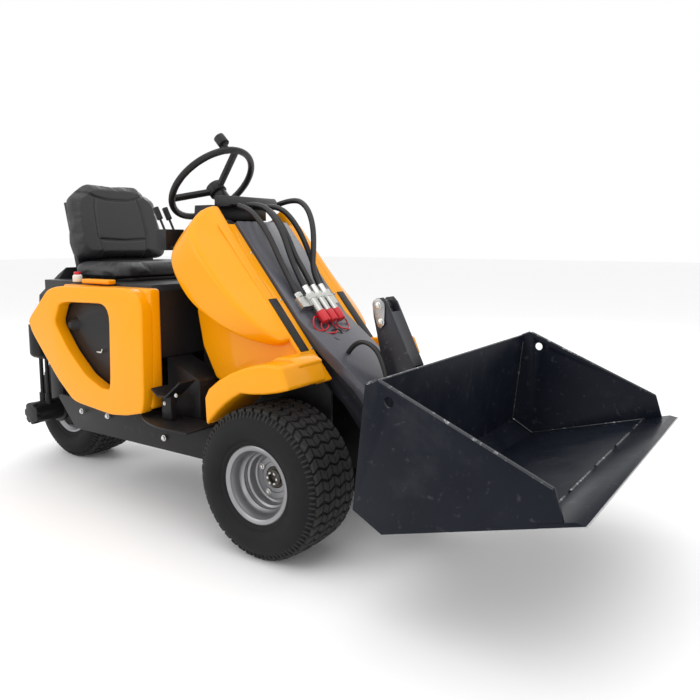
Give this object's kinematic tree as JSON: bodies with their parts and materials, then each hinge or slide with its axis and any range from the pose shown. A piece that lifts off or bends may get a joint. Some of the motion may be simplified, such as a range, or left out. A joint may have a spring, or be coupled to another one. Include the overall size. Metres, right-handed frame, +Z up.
{
  "type": "mini loader",
  "caption": "Ride-on three-wheel loader with a hinged boom and bucket, a seat, a steering wheel and a steered rear wheel.",
  "frame": {"origin": "on the ground, midway between the rear tyre's back and the cutting edge's tip, on the machine's middle plane", "axes": "+X forward to the bucket, +Y to the driver's left, +Z up"},
  "size_m": [2.5207, 1.027, 1.3038],
  "materials": {
    "tyre_rubber": "matt tread rubber",
    "rim_silver": "silver paint",
    "motor_black": "black paint",
    "frame_grey": "dark grey paint",
    "pin_steel": "bare steel",
    "engine_grey": "cast",
    "body_yellow": "glossy moulded",
    "panel_black": "grained",
    "seat_vinyl": "smooth vinyl",
    "wheel_black": "soft grip",
    "boom_grey": "semi-gloss paint",
    "cover_grey": "semi-gloss paint",
    "coupling_steel": "zinc plated",
    "cap_red": "moulded",
    "hose_rubber": "smooth",
    "bucket_blue_black": "dark paint with wear",
    "edge_steel": "worn bare steel",
    "barrel_black": "black paint",
    "rod_chrome": "polished"
  },
  "bodies": {
    "chassis": {"front_wheel_motors": "motor_black", "chassis_tray": "frame_grey", "tower_frame": "frame_grey", "boom_pin": "pin_steel", "rear_frame": "frame_grey", "engine": "engine_grey", "rear_panel_right": "body_yellow", "rear_panel_left": "body_yellow", "inset_panels": "panel_black", "seat_base": "panel_black", "rear_hood": "panel_black", "rear_cowl": "body_yellow", "seat_pan": "panel_black", "seat_cushion": "seat_vinyl", "seat_back": "seat_vinyl", "footwell_boxes": "frame_grey", "foot_plates": "frame_grey", "drive_pedal": "motor_black", "wing_right": "body_yellow", "wing_left": "body_yellow", "wing_strips": "panel_black", "hose_box": "panel_black", "steering_column": "motor_black", "control_valve": "motor_black", "canister": "panel_black"},
    "front_wheel_right": {"front_tyre_right": "tyre_rubber", "front_rim_right": "rim_silver"},
    "front_wheel_left": {"front_tyre_left": "tyre_rubber", "front_rim_left": "rim_silver"},
    "rear_fork": {"rear_fork": "frame_grey", "rear_wheel_motor": "motor_black"},
    "rear_wheel": {"rear_tyre": "tyre_rubber", "rear_rim": "rim_silver"},
    "steering_wheel": {"steering_wheel": "wheel_black"},
    "boom": {"boom": "boom_grey", "boom_cover": "cover_grey", "couplings": "coupling_steel", "coupling_caps": "cap_red", "boom_hoses": "hose_rubber", "tilt_hose": "hose_rubber", "tilt_post": "boom_grey"},
    "bucket": {"coupler": "boom_grey", "bucket": "bucket_blue_black", "cutting_edge": "edge_steel"},
    "lift_barrel": {"lift_barrel": "barrel_black"},
    "lift_rod": {"lift_rod": "rod_chrome"},
    "tilt_barrel": {"tilt_barrel": "barrel_black"},
    "tilt_rod": {"tilt_rod": "rod_chrome"}
  },
  "joints": [
    {"name": "front_right_spin", "type": "hinge", "parent": "chassis", "child": "front_wheel_right", "pos_m": [0.29212, -0.3, 0.2285], "axis": [0, 1, 0], "continuous": true},
    {"name": "front_left_spin", "type": "hinge", "parent": "chassis", "child": "front_wheel_left", "pos_m": [0.29212, 0.3, 0.2285], "axis": [0, 1, 0], "continuous": true},
    {"name": "rear_steer", "type": "hinge", "parent": "chassis", "child": "rear_fork", "pos_m": [-1.03188, 0, 0.492], "axis": [0, 0, 1], "range_deg": [-60, 60]},
    {"name": "rear_spin", "type": "hinge", "parent": "rear_fork", "child": "rear_wheel", "pos_m": [-1.03188, 0, 0.2285], "axis": [0, 1, 0], "continuous": true},
    {"name": "steering_wheel_turn", "type": "hinge", "parent": "chassis", "child": "steering_wheel", "pos_m": [-0.24288, 0, 1.134], "axis": [-0.6884, 0, 0.7254], "range_deg": [-540, 540]},
    {"name": "boom_lift", "type": "hinge", "parent": "chassis", "child": "boom", "pos_m": [-0.06188, 0, 0.96], "axis": [0, -1, 0], "range_deg": [-16, 68], "deforming": ["boom_hoses"]},
    {"name": "bucket_dump", "type": "hinge", "parent": "boom", "child": "bucket", "pos_m": [0.63712, 0, 0.262], "axis": [0, 1, 0], "range_deg": [-5, 75]},
    {"name": "lift_barrel_turn", "type": "hinge", "parent": "chassis", "child": "lift_barrel", "pos_m": [-0.20788, 0, 0.36], "axis": [0, -1, 0], "range_deg": [-2, 2]},
    {"name": "lift_rod_slide", "type": "slide", "parent": "lift_barrel", "child": "lift_rod", "axis": [0.5068, 0, 0.8621], "range_m": [-0.0541, 0.2265]},
    {"name": "tilt_barrel_turn", "type": "hinge", "parent": "boom", "child": "tilt_barrel", "pos_m": [0.48712, 0, 0.73], "axis": [0, 1, 0], "range_deg": [-2, 2]},
    {"name": "tilt_rod_slide", "type": "slide", "parent": "tilt_barrel", "child": "tilt_rod", "axis": [0.4425, 0, -0.8968], "range_m": [-0.008, 0.1057]}
  ],
  "couplings": [
    {"joint": "steering_wheel_turn", "follows": "rear_steer", "ratio": -9},
    {"joint": "lift_barrel_turn", "follows": "boom_lift", "ratio": -0.01},
    {"joint": "lift_rod_slide", "follows": "boom_lift", "m_per_rad": 0.19},
    {"joint": "tilt_barrel_turn", "follows": "bucket_dump", "ratio": -0.01},
    {"joint": "tilt_rod_slide", "follows": "bucket_dump", "m_per_rad": 0.08}
  ]
}
